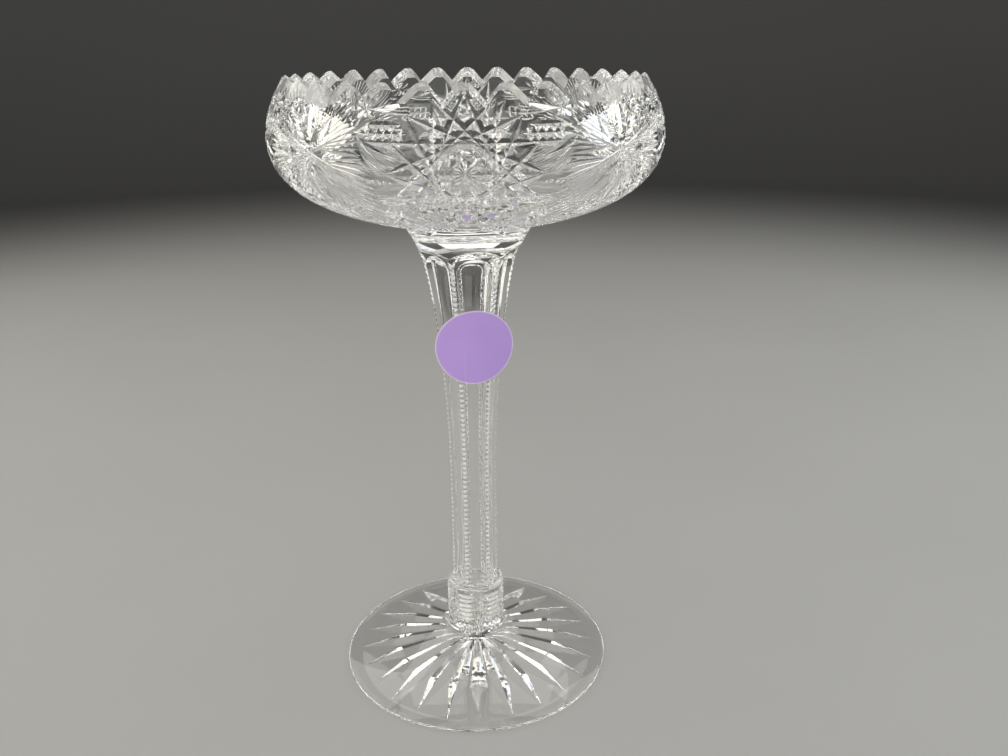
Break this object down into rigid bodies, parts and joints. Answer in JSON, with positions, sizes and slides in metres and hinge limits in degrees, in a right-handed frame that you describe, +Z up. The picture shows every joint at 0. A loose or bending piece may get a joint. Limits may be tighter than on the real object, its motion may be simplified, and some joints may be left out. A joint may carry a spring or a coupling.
{
  "type": "cut glass compote",
  "caption": "Tall footed serving dish of clear cut glass: in-curved bowl on a flared hexagonal stem and a round domed foot.",
  "frame": {"origin": "on the table under the middle of the foot", "axes": "+Z up along the stem, -Y the front that carries the round label, +X to the right of it"},
  "size_m": [0.18, 0.18, 0.3048],
  "materials": {
    "cut_glass": "polished, wheel cut",
    "label_paper": "matte, slightly creased"
  },
  "bodies": {
    "root": {"bowl": "cut_glass", "stem": "cut_glass", "foot_collar": "cut_glass", "foot": "cut_glass", "lot_sticker": "label_paper"}
  },
  "joints": []
}
